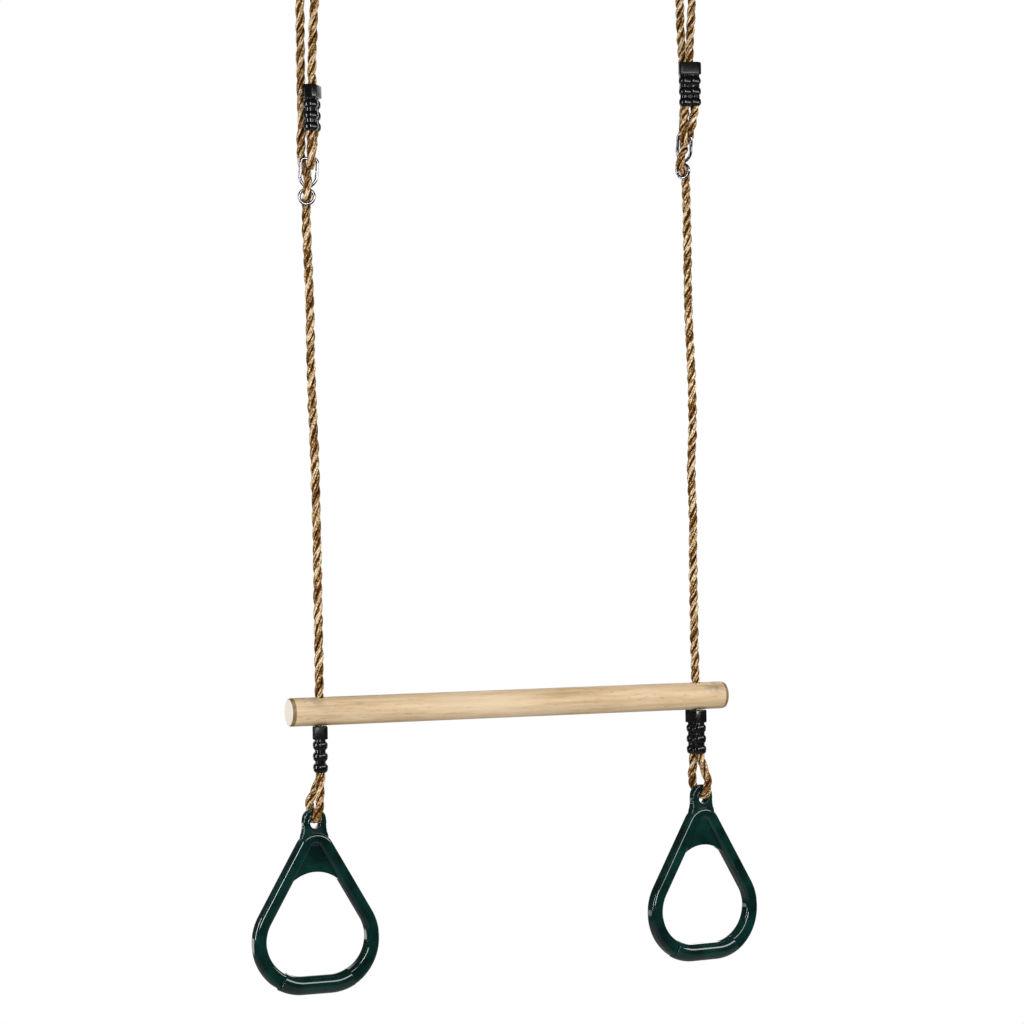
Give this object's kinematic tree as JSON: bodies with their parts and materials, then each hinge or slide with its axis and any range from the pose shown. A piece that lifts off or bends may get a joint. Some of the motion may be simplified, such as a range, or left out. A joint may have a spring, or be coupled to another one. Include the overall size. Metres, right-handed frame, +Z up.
{
  "type": "trapeze bar",
  "caption": "Wooden trapeze bar hung from steel rings by length-adjustable ropes, with triangular plastic grip handles hanging on rope loops below its ends.",
  "frame": {"origin": "midpoint between the centres of the two suspension rings", "axes": "+X along the bar to the right end, -Y to the front, +Z up through the rings"},
  "size_m": [0.6744, 0.0556, 1.2939],
  "materials": {
    "steel": "zinc-plated, satin",
    "wire": "bright plated wire",
    "rope": "laid three-strand rope, tan",
    "wood": "pale turned beech, oiled",
    "clamp": "black moulded plastic, glossy",
    "handle": "dark green moulded plastic, glossy"
  },
  "bodies": {
    "rings": {"left_suspension_ring": "steel", "right_suspension_ring": "steel"},
    "ropes": {"left_top_bight": "rope", "left_standing_run": "rope", "left_tail_run": "rope", "right_top_bight": "rope", "right_standing_run": "rope", "right_tail_run": "rope"},
    "left_adjuster": {"left_tail_eye": "rope", "left_upper_clamp": "clamp", "left_adjuster": "wire", "left_threaded_stretch": "rope"},
    "right_adjuster": {"right_tail_eye": "rope", "right_upper_clamp": "clamp", "right_adjuster": "wire", "right_threaded_stretch": "rope"},
    "left_lower": {"left_lower_run": "rope", "left_bar_stretch": "rope"},
    "right_lower": {"right_lower_run": "rope", "right_bar_stretch": "rope"},
    "bar": {"trapeze_bar": "wood"},
    "left_clamp": {"left_lower_clamp": "clamp"},
    "right_clamp": {"right_lower_clamp": "clamp"},
    "left_loop": {"left_handle_loop": "rope"},
    "right_loop": {"right_handle_loop": "rope"},
    "left_handle": {"left_handle_frame": "handle", "left_handle_grip": "handle"},
    "right_handle": {"right_handle_frame": "handle", "right_handle_grip": "handle"}
  },
  "joints": [
    {"name": "swing", "type": "hinge", "parent": "rings", "child": "ropes", "pos_m": [0, 0, 0], "axis": [1, 0, 0], "range_deg": [-60, 60]},
    {"name": "left_length_adjust", "type": "slide", "parent": "ropes", "child": "left_adjuster", "axis": [0, 0, 1], "range_m": [-0.12, 0.04], "deforming": ["left_standing_run", "left_tail_run"]},
    {"name": "right_length_adjust", "type": "slide", "parent": "ropes", "child": "right_adjuster", "axis": [0, 0, 1], "range_m": [-0.12, 0.04], "deforming": ["right_standing_run", "right_tail_run"]},
    {"name": "left_lower_feed", "type": "slide", "parent": "left_adjuster", "child": "left_lower", "axis": [0, 0, 1], "range_m": [-0.08, 0.24], "deforming": ["left_lower_run"]},
    {"name": "right_lower_feed", "type": "slide", "parent": "right_adjuster", "child": "right_lower", "axis": [0, 0, 1], "range_m": [-0.08, 0.24], "deforming": ["right_lower_run"]},
    {"name": "bar_lift", "type": "slide", "parent": "left_lower", "child": "bar", "axis": [0, 0, 1], "range_m": [0, 0.15]},
    {"name": "left_clamp_twist", "type": "hinge", "parent": "left_lower", "child": "left_clamp", "pos_m": [-0.251, 0, -0.9473], "axis": [0, 0, 1], "range_deg": [-90, 90], "stiffness_Nm_per_rad": 0.03},
    {"name": "right_clamp_twist", "type": "hinge", "parent": "right_lower", "child": "right_clamp", "pos_m": [0.251, 0, -0.9473], "axis": [0, 0, 1], "range_deg": [-90, 90], "stiffness_Nm_per_rad": 0.03},
    {"name": "left_loop_swing", "type": "hinge", "parent": "left_clamp", "child": "left_loop", "pos_m": [-0.251, 0, -1.0032], "axis": [1, 0, 0], "range_deg": [-60, 60], "deforming": ["left_handle_loop"]},
    {"name": "right_loop_swing", "type": "hinge", "parent": "right_clamp", "child": "right_loop", "pos_m": [0.251, 0, -1.0032], "axis": [0.9936, 0.1132, 0], "range_deg": [-60, 60], "deforming": ["right_handle_loop"]},
    {"name": "left_handle_tilt", "type": "hinge", "parent": "left_loop", "child": "left_handle", "pos_m": [-0.2605, 0, -1.0622], "axis": [0, 1, 0], "range_deg": [-70, 70]},
    {"name": "right_handle_tilt", "type": "hinge", "parent": "right_loop", "child": "right_handle", "pos_m": [0.256, 0, -1.0587], "axis": [-0.1132, 0.9936, 0], "range_deg": [-70, 70]}
  ],
  "couplings": [
    {"joint": "right_length_adjust", "follows": "left_length_adjust", "ratio": 1},
    {"joint": "left_lower_feed", "follows": "left_length_adjust", "ratio": -2},
    {"joint": "right_lower_feed", "follows": "left_length_adjust", "ratio": -2}
  ]
}
